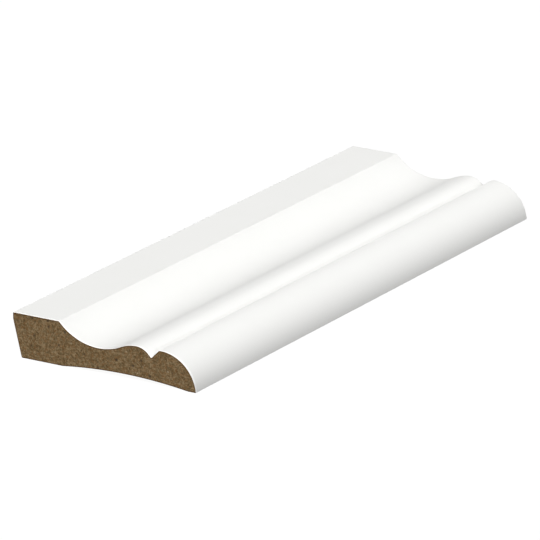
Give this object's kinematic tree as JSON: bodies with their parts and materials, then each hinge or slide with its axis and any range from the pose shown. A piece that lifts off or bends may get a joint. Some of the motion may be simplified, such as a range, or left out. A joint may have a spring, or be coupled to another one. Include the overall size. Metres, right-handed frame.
{
  "type": "skirting board",
  "caption": "Straight length of painted skirting board: flat band, wide cove, bead, V groove and rounded top edge on the face, shallow hollow in the back, ends cut square.",
  "frame": {"origin": "middle of the board's width and length, on the plane of its back, where its two feet bear on a wall or a table", "axes": "+X across the board from the thick floor edge to the thin rounded top edge, +Y along its length, +Z out of the wall, from its back to its painted face"},
  "size_m": [0.07, 0.214, 0.015],
  "materials": {
    "white_paint": "smooth sprayed white satin paint over fibreboard",
    "bare_fibreboard": "bare brown fibreboard with fine mottled fibres"
  },
  "bodies": {
    "root": {"skirting_board": "white_paint"}
  },
  "joints": []
}
